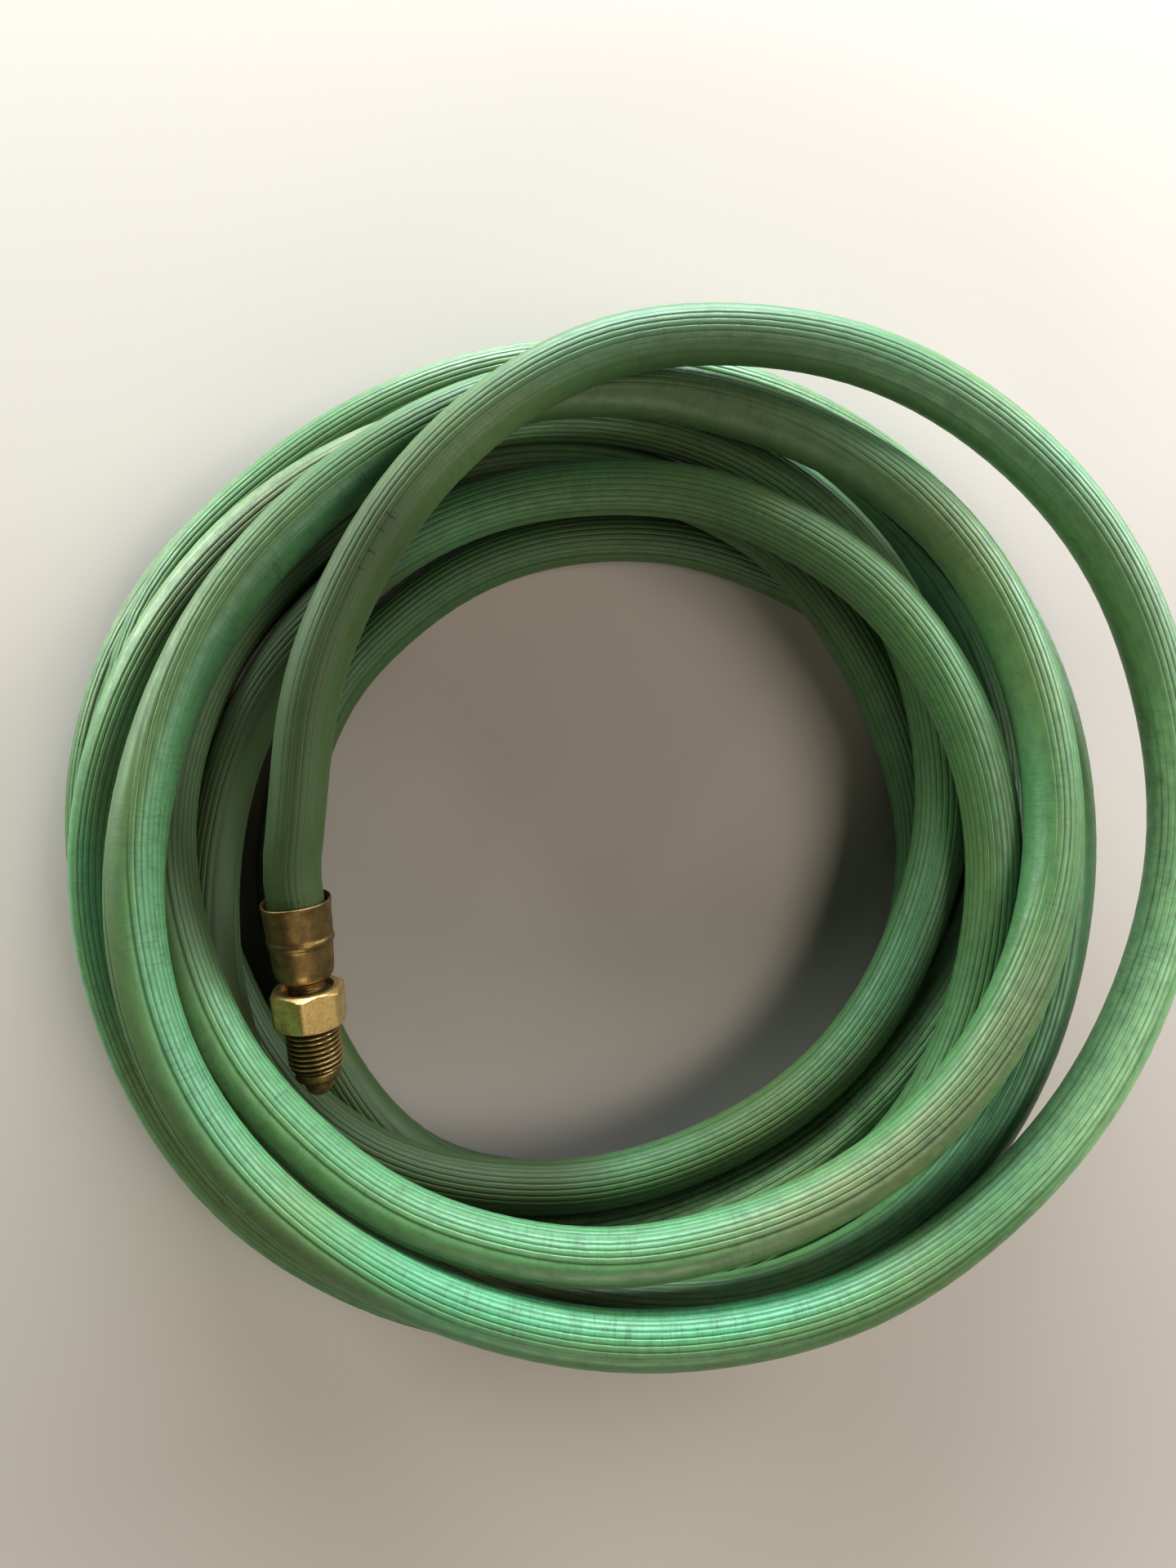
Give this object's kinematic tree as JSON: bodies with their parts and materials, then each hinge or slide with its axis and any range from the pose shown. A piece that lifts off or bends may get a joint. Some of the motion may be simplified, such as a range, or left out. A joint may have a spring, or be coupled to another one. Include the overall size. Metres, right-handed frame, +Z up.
{
  "type": "coiled hose",
  "caption": "Loosely coiled ribbed rubber gas and air hose with a crimped brass ferrule, barbed nipple and swivel nut at each end.",
  "frame": {"origin": "middle of the footprint, on the surface that the coil lies on", "axes": "+Z up out of the coil, +Y towards the back, where the loose end crosses over; the visible fitting's nose points along -Y on the -X side"},
  "size_m": [0.307, 0.288, 0.0648],
  "materials": {
    "hose_rubber": "green ribbed rubber, dusty",
    "liner_rubber": "black rubber",
    "braid_yarn": "woven yarn",
    "ferrule_brass": "dull brown brass",
    "nipple_brass": "worn brass",
    "nut_brass": "satin brass"
  },
  "bodies": {
    "hose": {"hose_coil": "hose_rubber", "hose_tail_a": "hose_rubber", "liner_a": "liner_rubber", "braid_a": "braid_yarn", "cover_a": "hose_rubber", "ferrule_a": "ferrule_brass", "nipple_a": "nipple_brass", "liner_b": "liner_rubber", "braid_b": "braid_yarn", "cover_b": "hose_rubber", "ferrule_b": "ferrule_brass", "nipple_b": "nipple_brass"},
    "nut_a": {"nut_a": "nut_brass"},
    "nut_b": {"nut_b": "nut_brass"}
  },
  "joints": [
    {"name": "nut_a_spin", "type": "hinge", "parent": "hose", "child": "nut_a", "pos_m": [-0.07746, -0.04366, 0.03725], "axis": [0.068, -0.972, -0.225], "continuous": true},
    {"name": "nut_b_spin", "type": "hinge", "parent": "hose", "child": "nut_b", "pos_m": [-0.11334, 0.03328, 0.0104], "axis": [0.1219, 0.9925, 0], "continuous": true}
  ]
}
